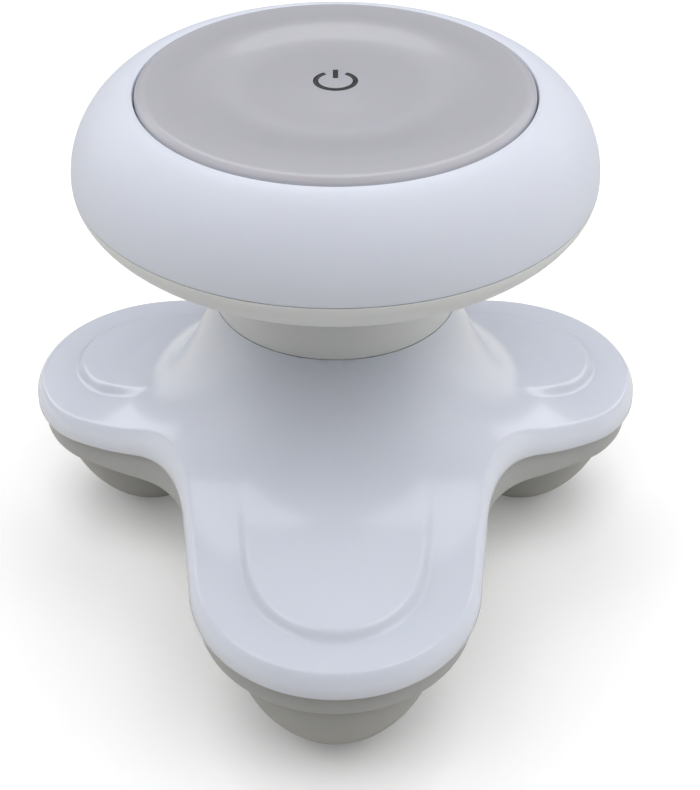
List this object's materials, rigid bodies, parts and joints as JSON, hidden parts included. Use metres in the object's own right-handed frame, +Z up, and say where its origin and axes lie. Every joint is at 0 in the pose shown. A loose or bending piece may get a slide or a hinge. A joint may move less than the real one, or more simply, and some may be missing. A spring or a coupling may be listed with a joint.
{
  "type": "palm massager",
  "caption": "Palm-held vibration massager: lobed base on domed feet, a neck that holds the cells, and a round head with a frosted press-down top over a small weighted motor.",
  "frame": {"origin": "middle of the footprint, at the height of the floor the feet stand on", "axes": "+Z up, -Y towards the front lobe, +X across the two rear lobes; the neck's axis is at y = 8.8 mm"},
  "size_m": [0.1054, 0.0971, 0.0908],
  "materials": {
    "frosted_cap": "frosted grey, slightly translucent",
    "satin_white": "satin cool white",
    "gloss_white": "glossy cool white",
    "grey_plastic": "satin light grey",
    "foot_plastic": "satin grey, slightly translucent",
    "natural_plastic": "unpainted moulding",
    "black_plastic": "matt black",
    "board_green": "green solder mask",
    "led_clear": "clear lens",
    "steel": "zinc plated",
    "spring_steel": "drawn wire and laminations",
    "brass": "plain stamped and turned brass",
    "cell_wrap": "plain blue sleeve",
    "red_insulation": "red wire insulation",
    "black_insulation": "black wire insulation"
  },
  "bodies": {
    "housing": {"head_upper_shell": "satin_white", "head_lower_shell": "satin_white", "base_upper_shell": "gloss_white", "base_lower_tray": "grey_plastic", "foot_front": "foot_plastic", "foot_left": "foot_plastic", "foot_right": "foot_plastic", "foot_screw_front": "steel", "foot_screw_left": "steel", "foot_screw_right": "steel", "tray_screw_rear": "steel", "tray_screw_left": "steel", "tray_screw_right": "steel", "neck_screw_rear": "steel", "neck_screw_left": "steel", "neck_screw_right": "steel", "head_screw_rear": "steel", "head_screw_left": "steel", "head_screw_right": "steel", "holder_screw_front": "steel", "holder_screw_left": "steel", "holder_screw_right": "steel", "led_front": "led_clear", "led_left": "led_clear", "led_right": "led_clear", "circuit_board": "board_green", "board_screw_1": "steel", "board_screw_2": "steel", "board_screw_3": "steel", "switch_body": "black_plastic", "controller_chip": "black_plastic", "motor_can": "steel", "motor_end_cap": "black_plastic", "motor_bracket": "steel", "bracket_screw_1": "steel", "bracket_screw_2": "steel", "cell_holder": "natural_plastic", "cell_a": "cell_wrap", "cell_b": "cell_wrap", "cell_c": "cell_wrap", "top_contact_plus": "brass", "top_contact_link": "brass", "top_contact_spring": "spring_steel", "return_strip": "brass", "battery_wire": "red_insulation", "motor_wire_red": "red_insulation", "motor_wire_black": "black_insulation", "cap_spring_front": "spring_steel", "cap_spring_left": "spring_steel", "cap_spring_right": "spring_steel"},
    "cap": {"push_cap": "frosted_cap"},
    "plunger": {"switch_plunger": "natural_plastic"},
    "motor_shaft": {"motor_rotor": "spring_steel", "eccentric_weight": "brass"},
    "door": {"battery_door": "grey_plastic", "door_contact_link": "brass", "door_contact_pad": "brass", "door_contact_spring_a": "spring_steel", "door_contact_spring_c": "spring_steel"}
  },
  "joints": [
    {"name": "cap_press", "type": "slide", "parent": "housing", "child": "cap", "axis": [0, 0, -1], "range_m": [0, 0.0015], "deforming": ["cap_spring_front", "cap_spring_left", "cap_spring_right"]},
    {"name": "switch_press", "type": "slide", "parent": "housing", "child": "plunger", "axis": [0, 0, -1], "range_m": [0, 0.0015]},
    {"name": "motor_spin", "type": "hinge", "parent": "housing", "child": "motor_shaft", "pos_m": [0, 0.0299, 0.0757], "axis": [1, 0, 0], "continuous": true},
    {"name": "door_twist", "type": "hinge", "parent": "housing", "child": "door", "pos_m": [0, 0.0088, 0.021], "axis": [0, 0, 1], "range_deg": [0, 40]}
  ],
  "couplings": [
    {"joint": "switch_press", "follows": "cap_press", "ratio": 1}
  ]
}
